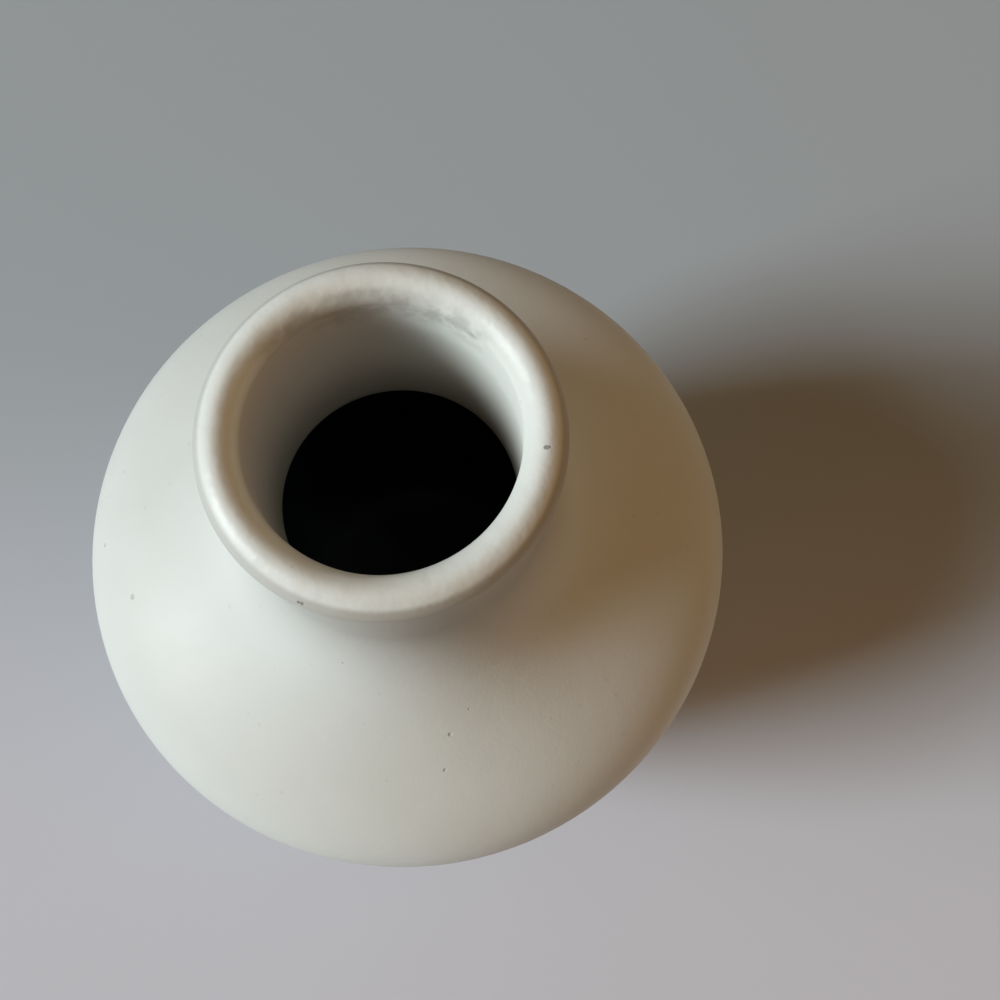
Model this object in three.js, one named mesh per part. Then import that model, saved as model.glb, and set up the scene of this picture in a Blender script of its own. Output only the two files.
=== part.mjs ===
// Bud vase: a small glazed stoneware bottle with a turned foot ring, a round belly, a sloping shoulder and a
// short, nearly upright neck with a rolled lip. Every piece is turned about the vertical axis.
// Units are millimetres, +Z is up, and the foot ring stands on z = 0 with its centre at the origin.
//
// One outline, the skin, runs up the outside from the foot, over the lip, down the bore of the neck and
// round the hollow belly to the middle of its floor. The clay lies one coat of glaze inside that skin.
// The cream coat covers the skin as far as the throat, and the dark liner covers the rest.

import * as THREE from 'three';

// Belly and shoulder, measured over the glaze
const BELLY_RADIUS = 44;
const BELLY_HEIGHT = 63.7; // floor to the widest circle
const BELLY_TURN = 10.4; // how far up the shoulder the upright widest circle is felt
const SHOULDER_RISE = 20.2; // widest circle to the foot of the neck
const SHOULDER_PITCH = 50; // slope of the shoulder at the foot of the neck, in degrees
const SHOULDER_RUN = 11.3; // how far down the shoulder that slope is felt

// Neck and lip, measured over the glaze
const BORE_RADIUS = 14.2;
const NECK_WALL = 3.15; // just below the lip
const NECK_TAPER = 0.5; // how much further out the neck is at its foot
const NECK_LENGTH = 11.4; // straight stretch between the foot of the neck and the lip
const FLARE_REACH = 5.1; // how far the foot of the neck spreads over the shoulder
const FLARE_RISE = 12.3; // how far the spread climbs
const FLARE_TURN = 3.8; // how far the spread keeps the slope that it starts and ends with
const LIP_OVERHANG = 0.65; // how far the lip stands out from the neck
const LIP_INSET = 0.5; // how far the lip stands into the bore
const LIP_DROP = 4.4; // how far below its widest ring the lip has run into the neck

// Wall, floor and throat, measured from skin to skin
const WALL = 6.3;
const FLOOR_THICKNESS = 6.5;
const FLOOR_ROUND = 9; // reach of the bend between floor and wall
const FLOOR_SHARE = 0.22; // share of the lower belly that the bend takes up
const THROAT_ROUND = 1.9;

// Foot ring
const FOOT_RADIUS = 27;
const FOOT_WIDTH = 5;
const FOOT_HEIGHT = 3.5; // bare clay below the edge of the cream coat
const FOOT_EDGE = 0.6; // bevel on both edges of the resting face
const FOOT_LEAN = 52; // slope of the belly above the foot, in degrees
const FOOT_SWEEP = 0.9; // share of the way out to the widest circle that this slope aims at
const HOLLOW_WALL = 2; // bare clay on the inner face of the ring
const HOLLOW_ROUND = 1.5; // bend between the ring and the hollow under the foot

// Glaze
const GLAZE = 0.4;
const BOND_GAP = 0.05; // clearance between a coat and the clay that carries it
const SEAM_GAP = 0.3; // clearance between the edge of a coat and what it stops at

// Facets
const TURN_FACETS = 44;
const BELLY_FACETS = 6;
const SHOULDER_FACETS = 6;
const FLARE_FACETS = 4;
const BEND_FACETS = 3;
const SWELL_FACETS = 2;
const ROLL_FACETS = 8;

/** Point of an outline at a radius and a height. */
function spot(radius, height) {
  return new THREE.Vector2(radius, height);
}

/** Direction that leaves the axis and climbs at an angle. */
function climb(degrees) {
  const angle = THREE.MathUtils.degToRad(degrees);
  return spot(Math.cos(angle), Math.sin(angle));
}

/** Point at a distance from another one along a direction. */
function reach(from, direction, distance) {
  return from.clone().addScaledVector(direction, distance);
}

function line(from, to) {
  return new THREE.LineCurve(from, to);
}

function arc(radius, height, round, startAngle, endAngle) {
  return new THREE.EllipseCurve(radius, height, round, round, startAngle, endAngle, endAngle < startAngle);
}

/** Bend that leaves one point towards a corner and arrives at the other point from it. */
function bend(from, corner, to) {
  return new THREE.QuadraticBezierCurve(from, corner, to);
}

/** Curve between two points that leaves and arrives along a handle at each of them. */
function sweep(from, fromHandle, toHandle, to) {
  return new THREE.CubicBezierCurve(from, fromHandle, toHandle, to);
}

/** Point at a share of a curve, moved into the wall by a depth. */
function sunk(curve, share, depth) {
  const point = curve.getPoint(share);
  const tangent = curve.getTangent(share);
  return spot(point.x - tangent.y * depth, point.y + tangent.x * depth);
}

/** Inner face of the wall behind a stretch of the outside, followed from its upper end down. */
class InnerFace extends THREE.Curve {
  constructor(outside, lowestShare) {
    super();
    this.outside = outside;
    this.lowestShare = lowestShare;
  }

  outsideShare(share) {
    return 1 - (1 - this.lowestShare) * share;
  }

  getPoint(share) {
    return sunk(this.outside, this.outsideShare(share), WALL);
  }

  getTangent(share) {
    return this.outside.getTangent(this.outsideShare(share)).negate();
  }
}

/** Points along a run of curves, moved into the wall by a depth. */
function trace(run, depth) {
  const points = [];
  run.forEach(([curve, facets], index) => {
    for (let step = index === 0 ? 0 : 1; step <= facets; step += 1) {
      points.push(sunk(curve, step / facets, depth));
    }
  });
  return points;
}

/** Solid turned about +Z from an outline that starts and ends on the axis or closes on itself. */
function turned(name, outline, material) {
  const geometry = new THREE.LatheGeometry(outline, TURN_FACETS);
  geometry.rotateX(Math.PI / 2);
  const mesh = new THREE.Mesh(geometry, material);
  mesh.name = name;
  return mesh;
}

// Corners of the neck, from the shoulder up to the lip
const up = spot(0, 1);
const neckRadius = BORE_RADIUS + NECK_WALL;
const flareFoot = spot(neckRadius + NECK_TAPER + FLARE_REACH, BELLY_HEIGHT + SHOULDER_RISE);
const neckFoot = spot(neckRadius + NECK_TAPER, flareFoot.y + FLARE_RISE);
const lipBase = spot(neckRadius, neckFoot.y + NECK_LENGTH);
const upShoulder = climb(180 - SHOULDER_PITCH);
const upNeck = lipBase.clone().sub(neckFoot).normalize();

// Outside of the belly; both halves leave the widest circle upright and equally curved
const widest = spot(BELLY_RADIUS, BELLY_HEIGHT);
const dryEdge = spot(FOOT_RADIUS, FOOT_HEIGHT);
const shoulderHandle = reach(flareFoot, upShoulder, -SHOULDER_RUN);
const footReach = (FOOT_SWEEP * (BELLY_RADIUS - FOOT_RADIUS)) / climb(FOOT_LEAN).x;
const footHandle = reach(dryEdge, climb(FOOT_LEAN), footReach);
const lowerTurn = BELLY_TURN * Math.sqrt((widest.x - footHandle.x) / (widest.x - shoulderHandle.x));
const lowerBelly = sweep(dryEdge, footHandle, reach(widest, up, -lowerTurn), widest);
const shoulder = sweep(widest, reach(widest, up, BELLY_TURN), shoulderHandle, flareFoot);

const bellyRun = [
  [lowerBelly, BELLY_FACETS],
  [shoulder, SHOULDER_FACETS],
];

// Spread foot of the neck, neck and rolled lip
const lipRing = lipBase.y + LIP_DROP;
const lipWaist = lipBase.y + LIP_DROP / 2;
const lipOutside = neckRadius + LIP_OVERHANG;
const lipInside = BORE_RADIUS - LIP_INSET;
const lipRoll = (lipOutside - lipInside) / 2;
const boreTop = spot(BORE_RADIUS, lipBase.y);
const flare = sweep(
  flareFoot,
  reach(flareFoot, upShoulder, FLARE_TURN),
  reach(neckFoot, upNeck, -FLARE_TURN),
  neckFoot,
);
const lipUnderside = sweep(
  lipBase,
  reach(lipBase, upNeck, LIP_DROP / 2),
  spot(lipOutside, lipWaist),
  spot(lipOutside, lipRing),
);
const lipInnerSide = sweep(
  spot(lipInside, lipRing),
  spot(lipInside, lipWaist),
  spot(BORE_RADIUS, lipWaist),
  boreTop,
);

// Bore and the rounded throat, which runs out into the inner face of the shoulder
const innerSlope = upShoulder.y / -upShoulder.x;
const innerTop = sunk(shoulder, 1, WALL);
const throatRadius = BORE_RADIUS + THROAT_ROUND;
const throatFoot = spot(throatRadius, innerTop.y + (innerTop.x - throatRadius) * innerSlope);
const throatCorner = spot(BORE_RADIUS, throatFoot.y + THROAT_ROUND * innerSlope);
const boreFoot = reach(throatCorner, up, THROAT_ROUND);

const neckRun = [
  [flare, FLARE_FACETS],
  [line(neckFoot, lipBase), 1],
  [lipUnderside, SWELL_FACETS],
  [arc(lipInside + lipRoll, lipRing, lipRoll, 0, Math.PI), ROLL_FACETS],
  [lipInnerSide, SWELL_FACETS],
  [line(boreTop, boreFoot), 1],
  [bend(boreFoot, throatCorner, throatFoot), BEND_FACETS],
];

// Hollow under the foot, from the middle out to the bare inner face of the ring
const ringInside = FOOT_RADIUS - FOOT_WIDTH;
const hollowFlat = ringInside - HOLLOW_ROUND;
const hollowTop = HOLLOW_WALL + HOLLOW_ROUND;

const underRun = [
  [line(spot(0, hollowTop), spot(hollowFlat, hollowTop)), 1],
  [arc(hollowFlat, HOLLOW_WALL, HOLLOW_ROUND, Math.PI / 2, 0), BEND_FACETS],
];

// Floor of the belly and the bend that leads up into its wall
const innerShoulder = new InnerFace(shoulder, 0);
const innerBelly = new InnerFace(lowerBelly, FLOOR_SHARE);
const wallFoot = innerBelly.getPoint(1);
const downWall = innerBelly.getTangent(1);
const floorTop = hollowTop + FLOOR_THICKNESS;
const floorCorner = reach(wallFoot, downWall, (floorTop - wallFoot.y) / downWall.y);
const floorFlat = spot(floorCorner.x - FLOOR_ROUND, floorTop);

/** Inside of the belly, from a distance past the throat down to the middle of the floor. */
function hollowRun(startGap) {
  const start = spot(throatFoot.x + startGap, throatFoot.y - startGap * innerSlope);
  return [
    [line(start, innerTop), 1],
    [innerShoulder, SHOULDER_FACETS],
    [innerBelly, BELLY_FACETS],
    [bend(wallFoot, floorCorner, floorFlat), BEND_FACETS],
    [line(floorFlat, spot(0, floorTop)), 1],
  ];
}

/** Fired clay: foot ring, hollow belly, neck and the core of the rolled lip. */
function vaseBody() {
  const depth = GLAZE + BOND_GAP;
  const footRing = [
    spot(ringInside, HOLLOW_WALL - SEAM_GAP),
    spot(ringInside, FOOT_EDGE),
    spot(ringInside + FOOT_EDGE, 0),
    spot(FOOT_RADIUS - FOOT_EDGE, 0),
    spot(FOOT_RADIUS, FOOT_EDGE),
    spot(FOOT_RADIUS, FOOT_HEIGHT - SEAM_GAP),
  ];
  const walls = trace([...bellyRun, ...neckRun, ...hollowRun(0)], depth);
  const outline = [...trace(underRun, depth), ...footRing, ...walls];
  const clay = new THREE.MeshStandardMaterial({ color: 0xb9a68c, roughness: 0.9, metalness: 0 });
  return turned('vase_body', outline, clay);
}

/** Cream satin coat from the dry foot over the lip to the throat. */
function outerGlaze() {
  const run = [...bellyRun, ...neckRun];
  const face = trace(run, 0);
  const outline = [...face, ...trace(run, GLAZE).reverse(), face[0].clone()];
  const cream = new THREE.MeshStandardMaterial({ color: 0xdcdbd2, roughness: 0.45, metalness: 0 });
  return turned('outer_glaze', outline, cream);
}

/** Dark coat that lines the hollow of the belly. */
function linerGlaze() {
  const run = hollowRun(SEAM_GAP);
  const outline = [...trace(run, GLAZE).reverse(), ...trace(run, 0)];
  const dark = new THREE.MeshStandardMaterial({ color: 0x0b0d12, roughness: 0.35, metalness: 0 });
  return turned('liner_glaze', outline, dark);
}

/** Patch of cream glaze in the hollow under the foot. */
function baseGlaze() {
  const outline = [...trace(underRun, 0), ...trace(underRun, GLAZE).reverse()];
  const cream = new THREE.MeshStandardMaterial({ color: 0xdcdbd2, roughness: 0.45, metalness: 0 });
  return turned('base_glaze', outline, cream);
}

const budVase = new THREE.Group();
budVase.add(vaseBody(), outerGlaze(), linerGlaze(), baseGlaze());

export default budVase;
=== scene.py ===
"""Looks of a small stoneware bud vase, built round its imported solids.

The vase is four turned layers that share one outline: the fired clay, a cream satin coat over the outside
and the lip, a dark liner in the belly, and a patch of cream glaze under the foot. Sizes are in metres.
"""

import logging
import math
from dataclasses import dataclass
from enum import Enum

import bpy
from mathutils import Matrix, Vector


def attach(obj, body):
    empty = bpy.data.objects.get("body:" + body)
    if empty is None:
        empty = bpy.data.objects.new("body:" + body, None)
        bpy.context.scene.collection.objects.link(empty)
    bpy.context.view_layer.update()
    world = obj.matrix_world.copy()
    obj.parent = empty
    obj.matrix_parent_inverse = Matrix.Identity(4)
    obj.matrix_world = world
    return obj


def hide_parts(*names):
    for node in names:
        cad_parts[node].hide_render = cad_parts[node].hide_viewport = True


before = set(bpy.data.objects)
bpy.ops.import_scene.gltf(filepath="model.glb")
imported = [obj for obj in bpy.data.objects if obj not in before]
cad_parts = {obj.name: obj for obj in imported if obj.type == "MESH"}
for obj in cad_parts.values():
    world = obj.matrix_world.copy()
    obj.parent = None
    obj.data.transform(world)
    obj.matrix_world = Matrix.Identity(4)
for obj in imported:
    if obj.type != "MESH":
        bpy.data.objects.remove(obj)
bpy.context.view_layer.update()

log = logging.getLogger("bud_vase")

Colour = tuple[float, float, float]
Place = tuple[float, float, float]
Span = tuple[float, float]
Socket = bpy.types.NodeSocket
Sockets = dict[str | int, object]

BODY = "root"
MERGE_DISTANCE = 1e-6
CIRCLE_PULL = 0.5523
EVEN_PULL = 2 / 3
EDGE_SHARES = (0.2, 0.5, 0.8)
SEED_SIZE = 0.001
SMOOTH_ANGLE = math.radians(40)
CLOUD_SPAN: Span = (0.35, 0.65)


class Layer(Enum):
    """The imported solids, by the names of their nodes."""

    CLAY = "vase_body"
    CREAM = "outer_glaze"
    LINER = "liner_glaze"
    BASE = "base_glaze"


class Slot(Enum):
    """The record's material slots."""

    FIRED_CLAY = "fired_clay"
    CREAM_GLAZE = "cream_glaze"
    DARK_GLAZE = "dark_glaze"


@dataclass(frozen=True)
class VaseSizes:
    """Driving sizes of the vase, measured over its glaze.

    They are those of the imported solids, apart from the last four, which refine the lip by a fraction of a
    millimetre: how far its crest leans to the mouth, how full its roll is, its inner bead, and the run in
    which the bore eases into it.
    """

    belly_radius: float = 0.044
    belly_height: float = 0.0637
    belly_turn: float = 0.0104
    shoulder_rise: float = 0.0202
    shoulder_pitch: float = 50.0
    shoulder_run: float = 0.0113
    bore_radius: float = 0.0142
    neck_wall: float = 0.00315
    neck_taper: float = 0.0005
    neck_length: float = 0.0114
    flare_reach: float = 0.0051
    flare_rise: float = 0.0123
    flare_turn: float = 0.0038
    lip_overhang: float = 0.00065
    lip_inset: float = 0.0005
    lip_drop: float = 0.0044
    wall: float = 0.0063
    floor_thickness: float = 0.0065
    floor_round: float = 0.009
    floor_share: float = 0.22
    throat_round: float = 0.0019
    foot_radius: float = 0.027
    foot_width: float = 0.005
    foot_height: float = 0.0035
    foot_edge: float = 0.0006
    foot_lean: float = 52.0
    foot_sweep: float = 0.9
    hollow_wall: float = 0.002
    hollow_round: float = 0.0015
    glaze: float = 0.0004
    bond_gap: float = 0.00005
    seam_gap: float = 0.0003
    lip_lean: float = 0.00012
    lip_pull: float = 0.45
    lip_bead: float = 0.0001
    bore_ease: float = 0.009


@dataclass(frozen=True)
class OutlineSteps:
    """Steps in which the stretches of the outline are drawn."""

    belly: int = 28
    shoulder: int = 24
    flare: int = 20
    neck: int = 6
    lip_side: int = 10
    lip_roll: int = 12
    bore_ease: int = 12
    bore: int = 8
    throat: int = 8
    cone: int = 6
    floor_round: int = 10
    floor: int = 3
    hollow: int = 4
    hollow_round: int = 8
    ring_inside: int = 2
    ring_edge: int = 4
    ring_face: int = 4
    ring_outside: int = 3


def at(radius: float, height: float) -> Vector:
    """Gives the point of an outline at a radius and a height."""
    return Vector((radius, 0.0, height))


def slanted(degrees: float) -> Vector:
    """Gives the direction that leaves the axis and climbs at an angle."""
    angle = math.radians(degrees)
    return at(math.cos(angle), math.sin(angle))


@dataclass(frozen=True)
class Stretch:
    """One cubic stretch of an outline, drawn in a number of steps."""

    start: Vector
    first: Vector
    second: Vector
    end: Vector
    steps: int

    def point(self, share: float) -> Vector:
        """Gives the point at a share of the stretch."""
        rest = 1 - share
        outer = self.start * rest**3 + self.end * share**3
        return outer + self.first * (3 * rest**2 * share) + self.second * (3 * rest * share**2)

    def heading(self, share: float) -> Vector:
        """Gives the direction of travel at a share of the stretch."""
        rest = 1 - share
        middle = (self.second - self.first) * (2 * rest * share)
        ends = (self.first - self.start) * rest**2 + (self.end - self.second) * share**2
        return (middle + ends).normalized()

    def sunk(self, share: float, depth: float) -> Vector:
        """Gives the point at a share of the stretch, moved into the wall by a depth."""
        heading = self.heading(share)
        return self.point(share) + at(-heading.z, heading.x) * depth

    def shares(self, since: float = 0.0) -> list[float]:
        """Gives the shares of the steps that lie beyond one share."""
        return [step / self.steps for step in range(self.steps + 1) if step / self.steps >= since]


def line(start: Vector, end: Vector, steps: int) -> Stretch:
    """Draws a straight stretch between two points."""
    return Stretch(start, start.lerp(end, 1 / 3), end.lerp(start, 1 / 3), end, steps)


def bend(start: Vector, corner: Vector, end: Vector, steps: int, pull: float = EVEN_PULL) -> Stretch:
    """Rounds a corner between two points.

    Args:
        start: Where the bend begins.
        corner: The corner that it leaves out.
        end: Where the bend ends.
        steps: Number of steps.
        pull: How far the bend reaches towards the corner.

    Returns:
        The bend, which points at the corner at both ends.
    """
    return Stretch(start, start.lerp(corner, pull), end.lerp(corner, pull), end, steps)


def swell(start: Vector, end: Vector, steps: int) -> Stretch:
    """Draws an S between two radii that is upright at both ends."""
    middle = (start.z + end.z) / 2
    return Stretch(start, at(start.x, middle), at(end.x, middle), end, steps)


def trace(run: list[Stretch], depth: float = 0.0) -> list[Vector]:
    """Lists the points along a run of stretches.

    Args:
        run: Stretches that follow one another.
        depth: How far the points lie inside the wall.

    Returns:
        The points, without doubles where stretches meet.
    """
    points = [run[0].sunk(0.0, depth)]
    for stretch in run:
        points += [stretch.sunk(share, depth) for share in stretch.shares()[1:]]
    return points


class Outline:
    """The skin of the vase as runs of stretches in the plane y = 0."""

    def __init__(self, sizes: VaseSizes) -> None:
        """Works out the heights and radii that the runs share.

        Args:
            sizes: Driving sizes of the vase.
        """
        self.sizes = sizes
        self.steps = OutlineSteps()
        self.neck_radius = sizes.bore_radius + sizes.neck_wall
        self.clay_depth = sizes.glaze + sizes.bond_gap
        neck_out = self.neck_radius + sizes.neck_taper
        self.flare_foot = at(neck_out + sizes.flare_reach, sizes.belly_height + sizes.shoulder_rise)
        self.neck_foot = at(neck_out, self.flare_foot.z + sizes.flare_rise)
        self.lip_base = at(self.neck_radius, self.neck_foot.z + sizes.neck_length)
        self.lip_ring = self.lip_base.z + sizes.lip_drop
        self.lip_waist = self.lip_base.z + sizes.lip_drop / 2
        self.lip_outside = self.neck_radius + sizes.lip_overhang
        self.lip_inside = sizes.bore_radius - sizes.lip_inset
        self.lip_roll = (self.lip_outside - self.lip_inside) / 2
        self.lip_top = self.lip_ring + self.lip_roll
        self.bore_top = at(sizes.bore_radius, self.lip_base.z - sizes.bore_ease)
        self.ring_inside = sizes.foot_radius - sizes.foot_width
        self.hollow_top = sizes.hollow_wall + sizes.hollow_round
        self.up_shoulder = slanted(180 - sizes.shoulder_pitch)
        self.up_neck = (self.lip_base - self.neck_foot).normalized()
        self.widest = at(sizes.belly_radius, sizes.belly_height)
        self.shoulder_handle = self.flare_foot - self.up_shoulder * sizes.shoulder_run

    def lower_belly(self) -> Stretch:
        """Draws the belly from the edge of the dry foot up to its widest circle."""
        sizes = self.sizes
        foot = at(sizes.foot_radius, sizes.foot_height)
        lean = slanted(sizes.foot_lean)
        first = foot + lean * (sizes.foot_sweep * (sizes.belly_radius - sizes.foot_radius) / lean.x)
        tightness = (self.widest.x - first.x) / (self.widest.x - self.shoulder_handle.x)
        second = self.widest - at(0.0, sizes.belly_turn * math.sqrt(tightness))
        return Stretch(foot, first, second, self.widest, self.steps.belly)

    def shoulder(self) -> Stretch:
        """Draws the shoulder from the widest circle up to the foot of the neck."""
        first = self.widest + at(0.0, self.sizes.belly_turn)
        return Stretch(self.widest, first, self.shoulder_handle, self.flare_foot, self.steps.shoulder)

    def neck(self) -> list[Stretch]:
        """Draws the outside of the neck and the rolled lip, down to the bore."""
        sizes = self.sizes
        steps = self.steps
        flare_first = self.flare_foot + self.up_shoulder * sizes.flare_turn
        flare_second = self.neck_foot - self.up_neck * sizes.flare_turn
        ring_out = at(self.lip_outside, self.lip_ring)
        ring_in = at(self.lip_inside - sizes.lip_bead, self.lip_ring)
        crest = at(self.lip_inside + self.lip_roll - sizes.lip_lean, self.lip_top)
        under_first = self.lip_base + self.up_neck * (sizes.lip_drop / 2)
        under_second = at(self.lip_outside, self.lip_waist)
        return [
            Stretch(self.flare_foot, flare_first, flare_second, self.neck_foot, steps.flare),
            line(self.neck_foot, self.lip_base, steps.neck),
            Stretch(self.lip_base, under_first, under_second, ring_out, steps.lip_side),
            bend(ring_out, at(ring_out.x, crest.z), crest, steps.lip_roll, sizes.lip_pull),
            bend(crest, at(ring_in.x, crest.z), ring_in, steps.lip_roll, sizes.lip_pull),
            swell(ring_in, self.bore_top, steps.bore_ease),
        ]

    def throat(self) -> list[Stretch]:
        """Draws the bore of the neck and the rounded edge of the throat."""
        sizes = self.sizes
        slope = math.tan(math.radians(sizes.shoulder_pitch))
        inner_top = self.shoulder().sunk(1.0, sizes.wall)
        edge_radius = sizes.bore_radius + sizes.throat_round
        edge = at(edge_radius, inner_top.z + (inner_top.x - edge_radius) * slope)
        corner = at(sizes.bore_radius, edge.z + sizes.throat_round * slope)
        bore_foot = corner + at(0.0, sizes.throat_round)
        bore = line(self.bore_top, bore_foot, self.steps.bore)
        return [bore, bend(bore_foot, corner, edge, self.steps.throat)]

    def outside(self) -> list[Stretch]:
        """Draws the skin from the edge of the dry foot over the lip to the throat."""
        return [self.lower_belly(), self.shoulder(), *self.neck(), *self.throat()]

    def hollow(self, depth: float, start_gap: float = 0.0) -> list[Vector]:
        """Lists the points of the hollow belly from the throat to the middle of its floor.

        Args:
            depth: How far the points lie inside the wall.
            start_gap: How far from the throat the run begins, in radius.

        Returns:
            The points, the last one on the axis.
        """
        sizes = self.sizes
        inward = sizes.wall - depth
        shoulder = self.shoulder()
        belly = self.lower_belly()
        slope = math.tan(math.radians(sizes.shoulder_pitch))
        edge = self.throat()[-1].end + at(start_gap, -start_gap * slope)
        cone = trace([line(edge, shoulder.sunk(1.0, sizes.wall), self.steps.cone)], depth)
        upper = [shoulder.sunk(share, inward) for share in reversed(shoulder.shares())]
        lower = [belly.sunk(share, inward) for share in reversed(belly.shares(sizes.floor_share))]
        start = lower[-1]
        down = -belly.heading(belly.shares(sizes.floor_share)[0])
        floor = self.hollow_top + sizes.floor_thickness - depth
        corner = start + down * ((floor - start.z) / down.z)
        flat = at(corner.x - sizes.floor_round, floor)
        rounding = bend(start, corner, flat, self.steps.floor_round)
        rest = trace([rounding, line(flat, at(0.0, floor), self.steps.floor)])
        return cone + upper[1:] + lower[1:] + rest[1:]

    def under(self) -> list[Stretch]:
        """Draws the hollow under the foot, from its middle out to the ring."""
        sizes = self.sizes
        flat = at(self.ring_inside - sizes.hollow_round, self.hollow_top)
        corner = at(self.ring_inside, self.hollow_top)
        wall = at(self.ring_inside, sizes.hollow_wall)
        ceiling = line(at(0.0, self.hollow_top), flat, self.steps.hollow)
        return [ceiling, bend(flat, corner, wall, self.steps.hollow_round, CIRCLE_PULL)]

    def foot_ring(self) -> list[Stretch]:
        """Draws the bare ring that the vase stands on, from its inner to its outer face."""
        sizes = self.sizes
        steps = self.steps
        edge = sizes.foot_edge
        inner_foot = at(self.ring_inside, edge)
        outer_foot = at(sizes.foot_radius, edge)
        inner_face = at(self.ring_inside + edge, 0.0)
        outer_face = at(sizes.foot_radius - edge, 0.0)
        return [
            line(at(self.ring_inside, sizes.hollow_wall - sizes.seam_gap), inner_foot, steps.ring_inside),
            bend(inner_foot, at(self.ring_inside, 0.0), inner_face, steps.ring_edge, CIRCLE_PULL),
            line(inner_face, outer_face, steps.ring_face),
            bend(outer_face, at(sizes.foot_radius, 0.0), outer_foot, steps.ring_edge, CIRCLE_PULL),
            line(outer_foot, at(sizes.foot_radius, sizes.foot_height - sizes.seam_gap), steps.ring_outside),
        ]


def rounded_edge(start: Vector, end: Vector, reach: float) -> list[Vector]:
    """Rounds the edge of a coat between its two faces.

    Args:
        start: Edge of the face that ends.
        end: Edge of the face that begins.
        reach: How far the edge bulges, to the right of the way from start to end.

    Returns:
        The points between the two faces.
    """
    across = (end - start).normalized()
    beyond = at(across.z, -across.x) * reach
    return [start.lerp(end, share) + beyond * math.sin(math.pi * share) for share in EDGE_SHARES]


class Wheel:
    """Turns outlines into closed meshes."""

    def __init__(self, facets: int) -> None:
        """Keeps the number of facets round the axis."""
        self.facets = facets

    def throw(self, name: str, profile: list[Vector]) -> bpy.types.Object:
        """Draws an outline point by point and spins it about the upright axis.

        Args:
            name: Name of the piece.
            profile: Points that start and end on the axis, or close on themselves.

        Returns:
            The turned piece, with its faces pointing outwards.
        """
        bpy.ops.object.select_all(action="DESELECT")
        bpy.ops.mesh.primitive_plane_add(size=SEED_SIZE, location=profile[0])
        piece = bpy.context.object
        piece.name = name
        piece.data.name = name
        bpy.ops.object.transform_apply(location=True, rotation=True, scale=True)
        bpy.ops.object.mode_set(mode="EDIT")
        bpy.ops.mesh.select_all(action="SELECT")
        bpy.ops.mesh.merge(type="CENTER")
        for start, end in zip(profile, profile[1:]):
            bpy.ops.mesh.extrude_vertices_move(TRANSFORM_OT_translate={"value": end - start})
        bpy.ops.mesh.select_all(action="SELECT")
        bpy.ops.mesh.spin(steps=self.facets, angle=math.tau, center=(0, 0, 0), axis=(0, 0, 1))
        bpy.ops.mesh.select_all(action="SELECT")
        bpy.ops.mesh.remove_doubles(threshold=MERGE_DISTANCE)
        bpy.ops.mesh.normals_make_consistent(inside=False)
        bpy.ops.object.mode_set(mode="OBJECT")
        bpy.ops.object.shade_smooth_by_angle(angle=SMOOTH_ANGLE)
        return piece


@dataclass
class TurnedLayer:
    """A layer of the vase that is turned on the wheel."""

    outline: Outline
    wheel: Wheel
    name: str
    layer: Layer
    slot: Slot

    def profile(self) -> list[Vector]:
        """Lists the points of the layer's outline."""
        raise NotImplementedError

    def build(self) -> bpy.types.Object:
        """Turns the layer on the wheel."""
        return self.wheel.throw(self.name, self.profile())

    def dress(self, piece: bpy.types.Object, material: bpy.types.Material) -> None:
        """Gives the piece its finish and puts it in the place of its solid.

        Args:
            piece: The turned layer.
            material: The finish that it shows.
        """
        piece.data.materials.clear()
        piece.data.materials.append(material)
        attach(piece, BODY)
        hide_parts(self.layer.value)
        log.info("%s: %d faces, finish %s", piece.name, len(piece.data.polygons), material.name)


@dataclass
class ClayShell(TurnedLayer):
    """Fired clay: foot ring, hollow belly, neck and the core of the lip."""

    name: str = "clay_shell"
    layer: Layer = Layer.CLAY
    slot: Slot = Slot.FIRED_CLAY

    def profile(self) -> list[Vector]:
        """Lists the points from under the foot, up the outside and down the inside."""
        depth = self.outline.clay_depth
        under = trace(self.outline.under(), depth)
        ring = trace(self.outline.foot_ring())
        outside = trace(self.outline.outside(), depth)
        return under + ring + outside + self.outline.hollow(depth)[1:]


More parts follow.
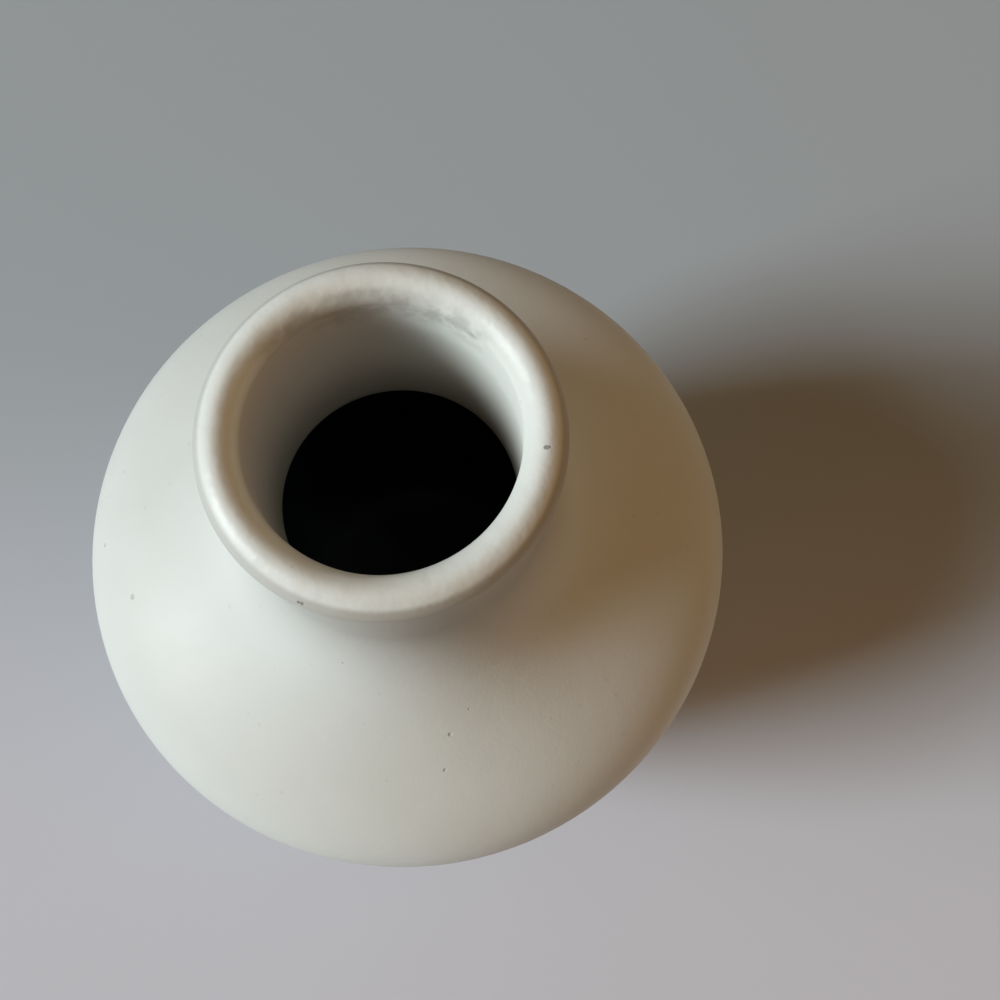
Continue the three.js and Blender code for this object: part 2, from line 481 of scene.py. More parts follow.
@dataclass
class CreamCoat(TurnedLayer):
    """Cream satin coat from the dry foot over the lip to the throat."""

    name: str = "cream_coat"
    layer: Layer = Layer.CREAM
    slot: Slot = Slot.CREAM_GLAZE
    bead: float = 0.00016
    bead_run: float = 0.003
    edge_wander: float = 0.0007
    edge_reach: float = 0.0035
    edge_pattern: float = 0.011

    def profile(self) -> list[Vector]:
        """Lists the points of the face, which swells to a bead at the foot, and of the back."""
        glaze = self.outline.sizes.glaze
        run = self.outline.outside()
        face = trace(run)
        back = trace(run, glaze)
        edge = face[0]
        for index, (point, behind) in enumerate(zip(face, back)):
            share = (point - edge).length / self.bead_run
            if share < 1:
                face[index] = point + (point - behind).normalized() * self.bead * math.sin(math.pi * share)
        back.reverse()
        throat_edge = rounded_edge(face[-1], back[0], glaze / 2)
        foot_edge = rounded_edge(back[-1], face[0], glaze / 2)
        return face + throat_edge + back + foot_edge + [face[0]]

    def build(self) -> bpy.types.Object:
        """Turns the coat and lets its lower edge wander as dipped glaze does."""
        piece = super().build()
        group = piece.vertex_groups.new(name="glaze_edge")
        edge = self.outline.sizes.foot_height
        for vertex in piece.data.vertices:
            weight = 1 - (vertex.co.z - edge) / self.edge_reach
            if weight > 0:
                group.add([vertex.index], min(weight, 1.0), "REPLACE")
        run = bpy.data.textures.new("glaze_run", "CLOUDS")
        run.noise_scale = self.edge_pattern
        wander = piece.modifiers.new("glaze_edge", "DISPLACE")
        wander.texture = run
        wander.texture_coords = "LOCAL"
        wander.direction = "Z"
        wander.mid_level = 0.0
        wander.strength = self.edge_wander
        wander.vertex_group = group.name
        bpy.ops.object.modifier_apply(modifier=wander.name)
        piece.vertex_groups.clear()
        return piece


@dataclass
class LinerCoat(TurnedLayer):
    """Dark coat that lines the hollow of the belly."""

    name: str = "liner_coat"
    layer: Layer = Layer.LINER
    slot: Slot = Slot.DARK_GLAZE

    def profile(self) -> list[Vector]:
        """Lists the points of the back, from the axis to the throat, and of the face."""
        sizes = self.outline.sizes
        back = self.outline.hollow(sizes.glaze, sizes.seam_gap)
        face = self.outline.hollow(0.0, sizes.seam_gap)
        return back[::-1] + rounded_edge(back[0], face[0], sizes.glaze / 2) + face


@dataclass
class BaseCoat(TurnedLayer):
    """Patch of cream glaze in the hollow under the foot."""

    name: str = "base_coat"
    layer: Layer = Layer.BASE
    slot: Slot = Slot.CREAM_GLAZE

    def profile(self) -> list[Vector]:
        """Lists the points of the face, from the axis to the ring, and of the back."""
        glaze = self.outline.sizes.glaze
        face = trace(self.outline.under())
        back = trace(self.outline.under(), glaze)[::-1]
        return face + rounded_edge(face[-1], back[0], glaze / 2) + back


@dataclass(frozen=True)
class Position:
    """Where a point of the vase is: its place, its X, Y and Z, and its distance from the upright axis."""

    place: Socket
    across: Socket
    back: Socket
    height: Socket
    radius: Socket


class Wiring:
    """Places nodes in one shader tree and joins their sockets."""

    def __init__(self, tree: bpy.types.NodeTree) -> None:
        """Keeps the tree that the nodes go into."""
        self.tree = tree

    def feed(self, node: bpy.types.Node, sockets: Sockets) -> None:
        """Fills input sockets of a node.

        Args:
            node: The node.
            sockets: Its input sockets, each with a value or with an output to join.
        """
        for socket, value in sockets.items():
            if isinstance(value, Socket):
                self.tree.links.new(value, node.inputs[socket])
            else:
                node.inputs[socket].default_value = value

    def add(self, kind: str, sockets: Sockets | None = None, **options: object) -> bpy.types.Node:
        """Adds a node.

        Args:
            kind: Type of the node, without its prefix.
            sockets: Input sockets, each with a value or with an output to join.
            options: Properties of the node, which are set before its sockets.

        Returns:
            The new node.
        """
        node = self.tree.nodes.new("ShaderNode" + kind)
        for option, value in options.items():
            setattr(node, option, value)
        self.feed(node, sockets or {})
        return node

    def place(self) -> Socket:
        """Gives the place of a point in its object."""
        return self.add("TexCoord").outputs["Object"]

    def position(self) -> Position:
        """Gives the place of a point, its coordinates and its distance from the upright axis."""
        place = self.place()
        axes = self.add("SeparateXYZ", {0: place}).outputs
        level = self.add("VectorMath", {0: place, 1: (1.0, 1.0, 0.0)}, operation="MULTIPLY").outputs[0]
        return Position(place, axes["X"], axes["Y"], axes["Z"], self.measure("LENGTH", level))

    def measure(self, operation: str, first: object, second: Place = (0.0, 0.0, 0.0)) -> Socket:
        """Reckons one value from one or two places."""
        return self.add("VectorMath", {0: first, 1: second}, operation=operation).outputs["Value"]

    def calc(self, operation: str, first: object, second: object = 0.0) -> Socket:
        """Reckons with one or two values."""
        return self.add("Math", {0: first, 1: second}, operation=operation).outputs[0]

    def product(self, first: object, *others: object) -> object:
        """Multiplies values with one another."""
        for other in others:
            first = self.calc("MULTIPLY", first, other)
        return first

    def vary(self, noise: object, middle: float, change: float) -> Socket:
        """Lets a value change about its middle as noise goes from 0 to 1."""
        sockets = {0: noise, 1: change, 2: middle - change / 2}
        return self.add("Math", sockets, operation="MULTIPLY_ADD").outputs[0]

    def fade(self, value: object, span: Span, origin: float = 0.0) -> Socket:
        """Rises smoothly from 0 to 1 along a span, which counts from an origin."""
        sockets = {"Value": value, "From Min": origin + span[0], "From Max": origin + span[1]}
        return self.add("MapRange", sockets, interpolation_type="SMOOTHSTEP").outputs["Result"]

    def blend(self, share: object, under: object, over: object) -> Socket:
        """Lays one colour over another by a share."""
        under = (*under, 1.0) if isinstance(under, tuple) else under
        over = (*over, 1.0) if isinstance(over, tuple) else over
        return self.add("Mix", {0: share, 6: under, 7: over}, data_type="RGBA").outputs[2]

    def noise(self, place: object, scale: object, detail: float = 2.0) -> Socket:
        """Gives soft noise from about 0.3 to 0.7."""
        return self.add("TexNoise", {"Vector": place, "Scale": scale, "Detail": detail}).outputs[0]

    def clouds(self, place: object, scale: float) -> Socket:
        """Gives soft clouds from 0 to 1."""
        return self.fade(self.noise(place, scale, detail=3.0), CLOUD_SPAN)

    def bump(self, height: object, strength: object, depth: float, normal: Socket | None = None) -> Socket:
        """Turns a height into a normal.

        Args:
            height: Height of the relief, from 0 to 1.
            strength: How strongly it shows.
            depth: Height in metres that 1 stands for.
            normal: Normal that the relief lies on, if any.

        Returns:
            The normal.
        """
        sockets = {"Strength": strength, "Distance": depth, "Height": height}
        if normal is not None:
            sockets["Normal"] = normal
        return self.add("Bump", sockets).outputs[0]


def open_finish(name: str) -> tuple[bpy.types.Material, Wiring, bpy.types.Node]:
    """Makes a plain material.

    Args:
        name: Name of the material.

    Returns:
        The material, the wiring of its tree, and its shader.
    """
    material = bpy.data.materials.new(name)
    material.use_nodes = True
    return material, Wiring(material.node_tree), material.node_tree.nodes["Principled BSDF"]


@dataclass(frozen=True)
class Scatter:
    """Scattered specks: cells to the metre, share of cells that hold one, and size as a share of a cell."""

    scale: float
    share: float
    size: float


class Effects:
    """Effects that more than one finish shows, each a node group built once."""

    FINER_GRAIN = 5.3
    COARSE_SHARE = 0.65
    FINE_SHARE = 0.35
    RAGGED_GRAIN = 4.0
    SPECK_EDGE: Span = (0.55, 1.0)

    def __init__(self) -> None:
        """Builds the groups."""
        self.grain_group = self._build_grain()
        self.speck_group = self._build_specks()

    def grain(self, wiring: Wiring, place: Socket, scale: float) -> Socket:
        """Places the grain in a finish.

        Args:
            wiring: Tree of the finish.
            place: Where a point of the object is.
            scale: Scale of the coarser grain.

        Returns:
            The grain as a value.
        """
        sockets = {"Place": place, "Scale": scale}
        return wiring.add("Group", sockets, node_tree=self.grain_group).outputs["Grain"]

    def specks(self, wiring: Wiring, place: Socket, scatter: Scatter) -> Socket:
        """Places specks in a finish.

        Args:
            wiring: Tree of the finish.
            place: Where a point of the object is.
            scatter: How the specks lie.

        Returns:
            A mask that is 1 on a speck.
        """
        sockets = {"Place": place, "Scale": scatter.scale, "Share": scatter.share, "Size": scatter.size}
        return wiring.add("Group", sockets, node_tree=self.speck_group).outputs["Mask"]

    @staticmethod
    def _open(
        name: str, values: tuple[str, ...], output: str
    ) -> tuple[Wiring, dict[str, Socket], bpy.types.Node]:
        """Opens an empty group.

        Args:
            name: Name of the group.
            values: Names of the inputs beside the place, each a value.
            output: Name of the one output, a value.

        Returns:
            The group's wiring, its inputs as sockets to join, and its output node.
        """
        tree = bpy.data.node_groups.new(name, "ShaderNodeTree")
        tree.interface.new_socket("Place", in_out="INPUT", socket_type="NodeSocketVector")
        for value in values:
            tree.interface.new_socket(value, in_out="INPUT", socket_type="NodeSocketFloat")
        tree.interface.new_socket(output, in_out="OUTPUT", socket_type="NodeSocketFloat")
        entry = tree.nodes.new("NodeGroupInput")
        leave = tree.nodes.new("NodeGroupOutput")
        return Wiring(tree), {socket: entry.outputs[socket] for socket in ("Place", *values)}, leave

    def _build_grain(self) -> bpy.types.NodeTree:
        """Builds the soft grain of two sizes that fired surfaces have."""
        wiring, given, leave = self._open("fired_grain", ("Scale",), "Grain")
        coarse = wiring.noise(given["Place"], given["Scale"], detail=3.0)
        fine = wiring.noise(given["Place"], wiring.product(given["Scale"], self.FINER_GRAIN))
        shares = wiring.product(coarse, self.COARSE_SHARE), wiring.product(fine, self.FINE_SHARE)
        wiring.feed(leave, {"Grain": wiring.calc("ADD", *shares)})
        return wiring.tree

    def _build_specks(self) -> bpy.types.NodeTree:
        """Builds scattered specks of uneven size and outline."""
        wiring, given, leave = self._open("fired_specks", ("Scale", "Share", "Size"), "Mask")
        cells = wiring.add("TexVoronoi", {"Vector": given["Place"], "Scale": given["Scale"]}).outputs
        tones = wiring.add("SeparateColor", {0: cells["Color"]}).outputs
        kept = wiring.calc("LESS_THAN", tones[0], given["Share"])
        ragged = wiring.noise(given["Place"], wiring.product(given["Scale"], self.RAGGED_GRAIN))
        reach = wiring.product(given["Size"], wiring.calc("ADD", tones[1], ragged))
        outside = wiring.fade(wiring.calc("DIVIDE", cells["Distance"], reach), self.SPECK_EDGE)
        mask = wiring.calc("SUBTRACT", 1.0, outside)
        wiring.feed(leave, {"Mask": wiring.product(mask, kept)})
        return wiring.tree


@dataclass(frozen=True)
class SingleMarks:
    """Marks of one kind: places with radii, scale of their raggedness, core and reach in radii."""

    spots: tuple[tuple[Place, float], ...]
    ragged_scale: float = 2600.0
    core: float = 0.9
    reach: float = 1.5

    def mask(self, wiring: Wiring, spot: Position) -> Socket:
        """Lays out the marks, each with a ragged outline.

        Args:
            wiring: Tree of the glaze.
            spot: Where a point of the vase is.

        Returns:
            A mask that is 1 on a mark.
        """
        noise = wiring.noise(spot.place, self.ragged_scale, detail=3.0)
        mask = 0.0
        for place, radius in self.spots:
            apart = wiring.measure("DISTANCE", spot.place, place)
            reach = wiring.calc("ADD", apart, wiring.product(noise, radius))
            within = wiring.fade(reach, (radius * self.reach, radius * self.core))
            mask = wiring.calc("MAXIMUM", mask, within)
        return mask


IRON_SPECKS = SingleMarks(
    spots=(
        ((0.01568, -0.00012, 0.11415), 0.00026),
        ((0.01586, -0.0001, 0.11415), 0.00024),
        ((0.01604, -0.00005, 0.11414), 0.0002),
        ((-0.00532, -0.01698, 0.11289), 0.00028),
        ((-0.00506, -0.01706, 0.11289), 0.00034),
    ),
)
PINHOLES = SingleMarks(
    spots=(
        ((-0.03374, -0.01358, 0.07434), 0.00042),
        ((-0.0396, -0.00681, 0.0716), 0.00032),
        ((0.00887, -0.0266, 0.07939), 0.0003),
        ((0.00868, -0.03081, 0.0769), 0.00026),
        ((0.01083, -0.02344, 0.08107), 0.00018),
        ((-0.00397, -0.02008, 0.08775), 0.00018),
        ((0.02135, 0.02818, 0.07496), 0.0002),
    ),
)
RUB_MARKS = SingleMarks(
    spots=(
        ((-0.00174, 0.01371, 0.11272), 0.0011),
        ((0.00372, 0.01319, 0.11147), 0.0008),
        ((0.00741, 0.01153, 0.11156), 0.0012),
    ),
    ragged_scale=700.0,
    core=0.5,
)


@dataclass(frozen=True)
class LipWearAndShade:
    """Worn marks and painted shade on the inner side of the lip: a ragged painted shade at the back left,
    mottled smears of wear beside it.

    Heights count from the ring of the lip, and the inner span from the radius of the mouth.
    """

    ragged_scale: float = 330.0
    ragged_height: float = 0.0022
    top: Span = (0.0033, 0.0021)
    inner: Span = (0.0014, 0.0006)
    mottle_scale: float = 520.0
    mottle_span: Span = (0.38, 0.62)
    smear_back: Span = (0.0095, 0.012)
    smear_rise: Span = (-0.005, -0.001)
    smear_share: float = 0.75
    shade_towards: Place = (-0.42, 0.906, 0.0)
    shade_reach: Span = (0.0095, 0.0125)
    shade_rise: Span = (-0.0008, 0.0006)
    shade_middle: float = 0.8
    shade_change: float = 0.5

    def mask(self, wiring: Wiring, spot: Position, outline: Outline) -> Socket:
        """Gives the worn marks and the painted shade.

        Args:
            wiring: Tree of the glaze.
            spot: Where a point of the vase is.
            outline: Outline of the vase.

        Returns:
            A mask of the rub marks.
        """
        ring = outline.lip_ring
        ragged = wiring.product(wiring.noise(spot.place, self.ragged_scale, detail=4.0), self.ragged_height)
        high = wiring.fade(wiring.calc("ADD", spot.height, ragged), self.top, ring)
        inner = wiring.product(high, wiring.fade(spot.radius, self.inner, outline.lip_inside))
        mottle = wiring.fade(wiring.noise(spot.place, self.mottle_scale, detail=5.0), self.mottle_span)
        smears = wiring.product(
            wiring.fade(spot.back, self.smear_back),
            wiring.fade(spot.height, self.smear_rise, ring),
            wiring.product(mottle, self.smear_share),
        )
        # painted shade on the back left of the lip's inner slope
        shade = wiring.product(
            wiring.fade(wiring.measure("DOT_PRODUCT", spot.place, self.shade_towards), self.shade_reach),
            wiring.fade(spot.height, self.shade_rise, ring),
            wiring.vary(mottle, self.shade_middle, self.shade_change),
        )
        return wiring.product(inner, wiring.calc("MAXIMUM", smears, shade))


@dataclass(frozen=True)
class CreamGlaze:
    """Satin matte cream glaze: faint mottle, fine specks, pinholes, worn marks on the lip and a warm foot
    edge, with painted light and shade.

    The tints by side, inside the neck and under the lip, are painted light and shade matched to how the vase
    was lit: a painted highlight on the lip's crest, painted shade under the lip, painted light on the right
    of the bore, painted shade on its left and deeper down, and painted shade on the back left of the lip.
    Spans named across lie along X, those named edge count from the radius of lip or bore, and those named
    rise are heights from the foot of the neck, the glaze edge, the lip's ring and, for the painted shade
    deep in the neck, the table.
    """

    outline: Outline
    light: Colour = (0.618, 0.652, 0.62)
    deep: Colour = (0.594, 0.626, 0.59)
    mottle_scale: float = 55.0
    # painted highlight: the crest of the lip is mixed lighter than the rest of the coat
    crest: Colour = (0.675, 0.714, 0.676)
    crest_drop: float = 0.0006
    # painted shade under the lip, on its outer edge and down the neck; its warm variant is painted warm room
    # light on the right
    under_lip_shade: Colour = (0.46, 0.468, 0.43)
    under_lip_shade_edge: Span = (-0.0011, -0.0005)
    under_lip_shade_rise: Span = (-0.0115, 0.003)
    under_lip_shade_share: float = 0.85
    under_lip_shade_warm: Colour = (0.37, 0.355, 0.3)
    shade_warm_across: Span = (-0.012, 0.008)
    toasted: Colour = (0.42, 0.31, 0.20)
    toasted_rise: Span = (0.0024, 0.0004)
    toasted_share: float = 0.8
    # painted light on the right side of the bore, where light falls into the mouth
    bore: Colour = (0.79, 0.835, 0.785)
    bore_edge: Span = (0.0012, 0.0003)
    bore_rise: Span = (0.0014, -0.0002)
    lit_bore_across: Span = (-0.003, 0.009)
    shaded: Colour = (0.53, 0.478, 0.43)
    shaded_across: Span = (0.003, -0.006)
    # painted shade: the bore turns darker deeper down the neck, where less light reaches
    deep_neck_shade: Colour = (0.315, 0.315, 0.28)
    deep_neck_shade_rise: Span = (0.103, 0.083)
    # one tone for the worn marks and the painted shade on the lip
    worn_and_shaded: Colour = (0.29, 0.275, 0.25)
    wear_and_shade_share: float = 0.55
    wear_and_shade_matt: float = 0.14
    wear_and_shade: LipWearAndShade = LipWearAndShade()
    rub_marks: SingleMarks = RUB_MARKS
    iron: Colour = (0.085, 0.075, 0.065)
    iron_share: float = 0.62
    hole_share: float = 0.26
    fine_share: float = 0.08
    fine_specks: Scatter = Scatter(scale=620.0, share=0.16, size=0.17)
    sparse_holes: Scatter = Scatter(scale=105.0, share=0.006, size=0.03)
    iron_specks: SingleMarks = IRON_SPECKS
    pinholes: SingleMarks = PINHOLES
    roughness: float = 0.44
    grain_scale: float = 420.0
    grain_change: float = 0.16
    lip_gloss: float = 0.06
    specular: float = 0.28
    pit_depth: float = 3.0
    peel_strength: float = 0.4
    peel_depth: float = 0.0001
    wave_scale: float = 430.0
    wave_strength: float = 0.22
    wave_depth: float = 0.0005

    def material(self, effects: Effects) -> bpy.types.Material:
        """Mixes the glaze.

        Args:
            effects: Shared effects.

        Returns:
            The finish as a material.
        """
        glaze, wiring, shader = open_finish("cream_satin_glaze")
        spot = wiring.position()
        crest = wiring.fade(spot.height, (self.outline.lip_ring, self.outline.lip_top - self.crest_drop))
        colour = self._inside(wiring, spot, self._outside(wiring, spot, crest))

        # worn marks and painted shade on the inner side of the lip
        wear_and_shade_mask = self.wear_and_shade.mask(wiring, spot, self.outline)
        wear_and_shade_mask = wiring.calc("MAXIMUM", wear_and_shade_mask, self.rub_marks.mask(wiring, spot))
        colour = wiring.blend(wiring.product(wear_and_shade_mask, self.wear_and_shade_share), colour, self.worn_and_shaded)
        fine = effects.specks(wiring, spot.place, self.fine_specks)
        colour = wiring.blend(wiring.product(fine, self.fine_share), colour, self.iron)
        iron = self.iron_specks.mask(wiring, spot)
        holes = effects.specks(wiring, spot.place, self.sparse_holes)
        holes = wiring.calc("MAXIMUM", holes, self.pinholes.mask(wiring, spot))
        shares = wiring.product(iron, self.iron_share), wiring.product(holes, self.hole_share)
        colour = wiring.blend(wiring.calc("MAXIMUM", *shares), colour, self.iron)

        grain = effects.grain(wiring, spot.place, self.grain_scale)
        matt = wiring.vary(grain, self.roughness, self.grain_change)
        matt = wiring.calc("ADD", matt, wiring.product(wear_and_shade_mask, self.wear_and_shade_matt))
        matt = wiring.calc("SUBTRACT", matt, wiring.product(crest, self.lip_gloss))

        pits = wiring.product(wiring.calc("MAXIMUM", iron, holes), self.pit_depth)
        peel = wiring.bump(wiring.calc("SUBTRACT", grain, pits), self.peel_strength, self.peel_depth)
        wave = wiring.noise(spot.place, self.wave_scale)
        normal = wiring.bump(wave, wiring.product(crest, self.wave_strength), self.wave_depth, peel)
        wiring.feed(shader, {"Base Color": colour, "Roughness": matt, "Normal": normal})
        wiring.feed(shader, {"Specular IOR Level": self.specular})
        return glaze

    def _outside(self, wiring: Wiring, spot: Position, crest: Socket) -> Socket:
        """Mixes the tones of the outside: mottle, painted highlight on the crest of the lip, painted shade
        below it, toasted edge.

        Args:
            wiring: Tree of the glaze.
            spot: Where a point of the vase is.
            crest: Mask of the lip's crest.

        Returns:
            The colour of the outside.
        """
        outline = self.outline
        colour = wiring.blend(wiring.clouds(spot.place, self.mottle_scale), self.light, self.deep)
        # painted highlight on the crest of the lip
        colour = wiring.blend(crest, colour, self.crest)
        # painted shade under the lip and on its outer edge
        under_lip_shade = wiring.product(
            wiring.fade(spot.radius, self.under_lip_shade_edge, outline.lip_outside),
            wiring.fade(spot.height, self.under_lip_shade_rise, outline.neck_foot.z),
            self.under_lip_shade_share,
        )
        # the painted shade turns warmer to the right, where the warm room light falls
        tone = wiring.blend(wiring.fade(spot.across, self.shade_warm_across), self.under_lip_shade, self.under_lip_shade_warm)
        colour = wiring.blend(under_lip_shade, colour, tone)
        foot = wiring.fade(spot.height, self.toasted_rise, outline.sizes.foot_height)
        return wiring.blend(wiring.product(foot, self.toasted_share), colour, self.toasted)

    def _inside(self, wiring: Wiring, spot: Position, colour: Socket) -> Socket:
        """Lays the tones of the bore over the colour of the outside: painted light on its right, painted
        shade on its left and deeper down.

        Args:
            wiring: Tree of the glaze.
            spot: Where a point of the vase is.
            colour: Colour of the outside.

        Returns:
            The colour of outside and bore.
        """
        bore = wiring.product(
            wiring.fade(spot.radius, self.bore_edge, self.outline.sizes.bore_radius),
            wiring.fade(spot.height, self.bore_rise, self.outline.lip_ring),
        )
        # painted light on the right of the bore, painted shade on its left, painted shade deeper down
        layers = (
            (spot.across, self.lit_bore_across, self.bore),
            (spot.across, self.shaded_across, self.shaded),
            (spot.height, self.deep_neck_shade_rise, self.deep_neck_shade),
        )
        for value, span, tone in layers:
            colour = wiring.blend(wiring.product(bore, wiring.fade(value, span)), colour, tone)
        return colour


@dataclass(frozen=True)
class DarkGlaze:
    """Blue-black liner glaze with a soft sheen, and painted bluish light on one side of the hollow."""

    deep: Colour = (0.008, 0.0095, 0.013)
    pale: Colour = (0.014, 0.017, 0.023)
    cloud_scale: float = 70.0
    # painted light: a bluish glow towards the front left of the hollow
    painted_blue_light: Colour = (0.09, 0.15, 0.21)
    painted_light_towards: Place = (-1.0, -1.0, 0.0)
    painted_light_reach: Span = (-0.008, 0.018)
    roughness: float = 0.55
    grain_scale: float = 240.0
    grain_change: float = 0.2
    relief_strength: float = 0.25
    relief_depth: float = 0.00015

    def material(self, effects: Effects) -> bpy.types.Material:
        """Mixes the glaze.

        Args:
            effects: Shared effects.

        Returns:
            The finish as a material.
        """
        glaze, wiring, shader = open_finish("dark_liner_glaze")
        place = wiring.place()
        grain = effects.grain(wiring, place, self.grain_scale)
        colour = wiring.blend(wiring.clouds(place, self.cloud_scale), self.deep, self.pale)
        # painted bluish light towards the front left
        side = wiring.measure("DOT_PRODUCT", place, self.painted_light_towards)
        colour = wiring.blend(wiring.fade(side, self.painted_light_reach), colour, self.painted_blue_light)
        matt = wiring.vary(grain, self.roughness, self.grain_change)
        normal = wiring.bump(grain, self.relief_strength, self.relief_depth)
        wiring.feed(shader, {"Base Color": colour, "Roughness": matt, "Normal": normal})
        return glaze


@dataclass(frozen=True)
class BareClay:
    """Bare buff stoneware with fine grog and iron specks."""

    buff: Colour = (0.47, 0.37, 0.265)
    grey: Colour = (0.36, 0.29, 0.215)
    cloud_scale: float = 130.0
    grog: Colour = (0.60, 0.53, 0.43)
    grog_specks: Scatter = Scatter(scale=900.0, share=0.25, size=0.32)
    iron: Colour = (0.07, 0.045, 0.03)
    iron_specks: Scatter = Scatter(scale=430.0, share=0.08, size=0.2)
    speck_share: float = 0.7
    roughness: float = 0.82
    grain_scale: float = 700.0
    grain_change: float = 0.2
    specular: float = 0.25
    relief_strength: float = 0.6
    relief_depth: float = 0.0002

    def material(self, effects: Effects) -> bpy.types.Material:
        """Mixes the clay.

        Args:
            effects: Shared effects.

        Returns:
            The finish as a material.
        """
        clay, wiring, shader = open_finish("bare_stoneware")
        place = wiring.place()
        grain = effects.grain(wiring, place, self.grain_scale)
        colour = wiring.blend(wiring.clouds(place, self.cloud_scale), self.buff, self.grey)
        for scatter, tone in ((self.grog_specks, self.grog), (self.iron_specks, self.iron)):
            specks = effects.specks(wiring, place, scatter)
            colour = wiring.blend(wiring.product(specks, self.speck_share), colour, tone)
        matt = wiring.vary(grain, self.roughness, self.grain_change)
        normal = wiring.bump(grain, self.relief_strength, self.relief_depth)
        wiring.feed(shader, {"Base Color": colour, "Roughness": matt, "Normal": normal})
        wiring.feed(shader, {"Specular IOR Level": self.specular})
        return clay


@dataclass(frozen=True)
class TableTone:
    """Matt pale grey of the table, with painted light and shade across it."""

    # painted light near the viewer, painted shade far away
    near: Colour = (0.562, 0.588, 0.648)
    far: Colour = (0.358, 0.408, 0.442)
    depth: Span = (-0.06, 0.06)
    side_reach: float = 0.2
    painted_light_change: float = 0.07
    roughness: float = 0.8
    specular: float = 0.2

    def material(self) -> bpy.types.Material:
        """Mixes the table's tone with painted light and shade: paler towards the viewer and to the right,
        darker far away.
        """
        table, wiring, shader = open_finish("pale_table")
        axes = wiring.add("SeparateXYZ", {0: wiring.place()}).outputs
        # painted light and shade across the table
        tone = wiring.blend(wiring.fade(axes["Y"], self.depth), self.near, self.far)
        sockets = {"Value": axes["X"], "From Min": -self.side_reach, "From Max": self.side_reach}
        sockets |= {"To Min": 1 - self.painted_light_change, "To Max": 1 + self.painted_light_change}
        share = wiring.add("MapRange", sockets).outputs["Result"]
        tone = wiring.add("VectorMath", {0: tone, "Scale": share}, operation="SCALE").outputs[0]
        wiring.feed(shader, {"Base Color": tone, "Roughness": self.roughness})
        wiring.feed(shader, {"Specular IOR Level": self.specular})
        return table


@dataclass(frozen=True)
class RoomLight:
    """Dim light of the room: warm from the right and from above, cooler from the back."""

    right: Colour = (0.535, 0.272, 0.043)
    back: Colour = (0.12, 0.165, 0.165)
    above: Colour = (0.28, 0.145, 0.068)
    sharpness: float = 2.0

    def tone(self, wiring: Wiring) -> Socket:
        """Gives the room's colour along a ray."""
        axes = wiring.add("SeparateXYZ", {0: wiring.add("TexCoord").outputs["Generated"]}).outputs
        lobes = []
        for axis, colour in (("X", self.right), ("Y", self.back), ("Z", self.above)):
            share = wiring.calc("POWER", wiring.calc("MAXIMUM", axes[axis], 0.0), self.sharpness)
            lobes.append(wiring.add("VectorMath", {0: colour, "Scale": share}, operation="SCALE").outputs[0])
        sides = wiring.add("VectorMath", {0: lobes[0], 1: lobes[1]}, operation="ADD").outputs[0]
        return wiring.add("VectorMath", {0: sides, 1: lobes[2]}, operation="ADD").outputs[0]


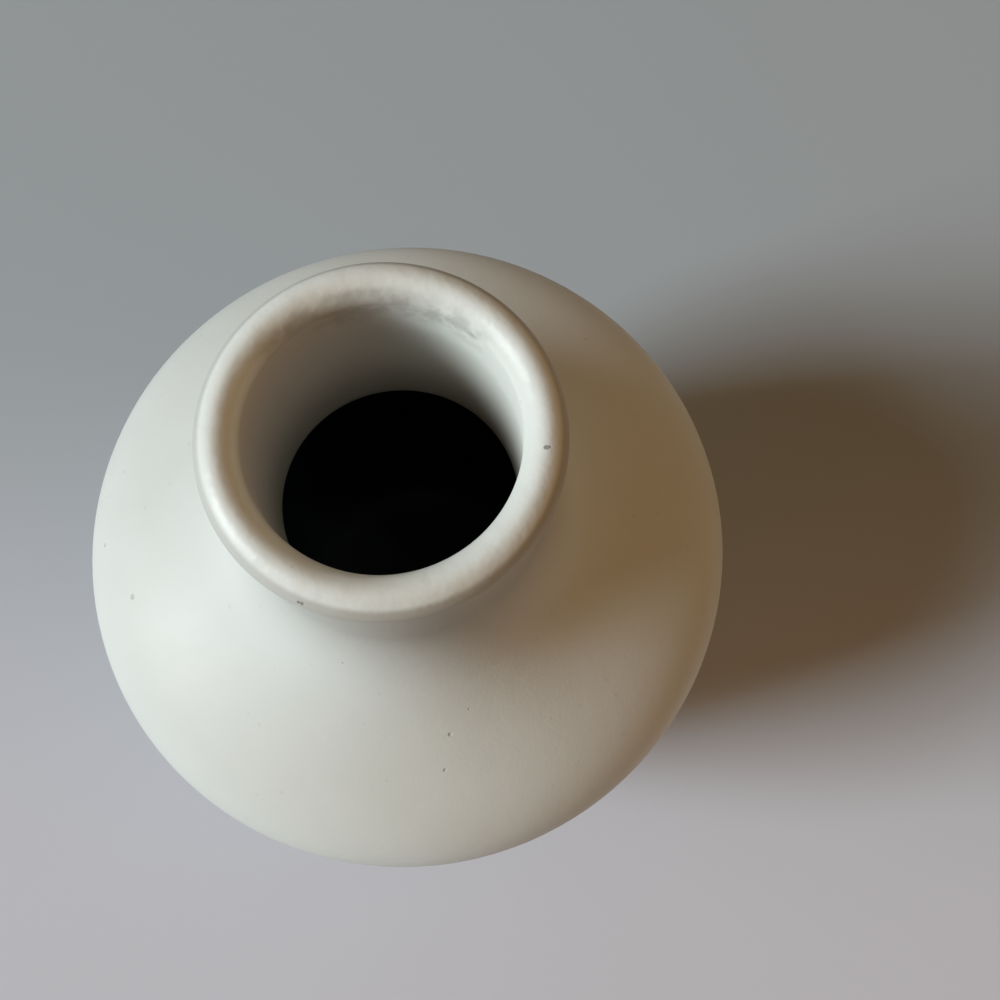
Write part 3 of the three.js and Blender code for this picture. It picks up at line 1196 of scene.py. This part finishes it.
@dataclass(frozen=True)
class Studio:
    """Pale table, one soft window-like light from the left and a dim room."""

    table_size: float = 6.0
    azimuth: float = 199.4
    elevation: float = 31.5
    distance: float = 2.5
    width: float = 0.85
    height: float = 1.2
    power: float = 74.5
    daylight: Colour = (0.912, 0.968, 1.0)
    room: RoomLight = RoomLight()
    backdrop: Colour = (0.3, 0.29, 0.28)
    aim_height: float = 0.05

    def build(self) -> None:
        """Lays the table, hangs the light and fills the room."""
        self._table()
        self._window()
        self._room()
        bpy.context.scene.view_settings.view_transform = "Standard"

    def _table(self) -> None:
        """Lays the table under the foot."""
        bpy.ops.object.select_all(action="DESELECT")
        bpy.ops.mesh.primitive_plane_add(size=self.table_size)
        table = bpy.context.object
        table.name = "table"
        table.data.materials.append(TableTone().material())

    def _window(self) -> None:
        """Hangs the soft light where the window stood."""
        lamp = bpy.data.lights.new("window", "AREA")
        lamp.shape = "RECTANGLE"
        lamp.size = self.width
        lamp.size_y = self.height
        lamp.energy = self.power
        lamp.color = self.daylight
        window = bpy.data.objects.new("window", lamp)
        bpy.context.scene.collection.objects.link(window)
        away = Matrix.Rotation(math.radians(self.azimuth), 3, "Z") @ slanted(self.elevation)
        window.location = Vector((0.0, 0.0, self.aim_height)) + away * self.distance
        window.rotation_euler = away.to_track_quat("Z", "Y").to_euler()

    def _room(self) -> None:
        """Fills the room with its dim light, behind a pale backdrop."""
        world = bpy.data.worlds.new("room")
        bpy.context.scene.world = world
        world.use_nodes = True
        wiring = Wiring(world.node_tree)
        ray = wiring.add("LightPath").outputs
        seen = wiring.calc("MAXIMUM", ray["Is Camera Ray"], ray["Is Glossy Ray"])
        seen = wiring.calc("MAXIMUM", seen, ray["Is Transmission Ray"])
        tone = wiring.blend(seen, self.room.tone(wiring), self.backdrop)
        wiring.feed(world.node_tree.nodes["Background"], {"Color": tone})


@dataclass(frozen=True)
class PhotoCamera:
    """Camera that looks down at the mouth, as the photograph does."""

    place: Place = (0.01189, -0.02863, 0.20565)
    elevation: float = 75.92
    roll: float = 6.03
    lens: float = 36.72
    sensor: float = 36.0
    nearest: float = 0.005

    def build(self) -> None:
        """Sets the camera up."""
        camera = bpy.data.cameras.new("camera")
        camera.lens = self.lens
        camera.sensor_width = self.sensor
        camera.clip_start = self.nearest
        stand = bpy.data.objects.new("camera", camera)
        bpy.context.scene.collection.objects.link(stand)
        tilt = Matrix.Rotation(math.radians(90 - self.elevation), 4, "X")
        turn = Matrix.Rotation(math.radians(self.roll), 4, "Z")
        stand.matrix_world = Matrix.Translation(self.place) @ tilt @ turn
        bpy.context.scene.camera = stand


def main() -> None:
    """Builds the vase layer by layer, then the studio and the camera."""
    logging.basicConfig(level=logging.INFO, format="%(name)s: %(message)s")
    log.info("frame with %d solids", len(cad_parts))
    outline = Outline(VaseSizes())
    wheel = Wheel(facets=128)
    effects = Effects()
    cream = CreamGlaze(outline).material(effects)
    layers = (
        (ClayShell(outline, wheel), BareClay().material(effects)),
        (CreamCoat(outline, wheel), cream),
        (LinerCoat(outline, wheel), DarkGlaze().material(effects)),
        (BaseCoat(outline, wheel), cream),
    )
    for layer, material in layers:
        layer.dress(layer.build(), material)
    Studio().build()
    PhotoCamera().build()


if __name__ == "__main__":
    main()
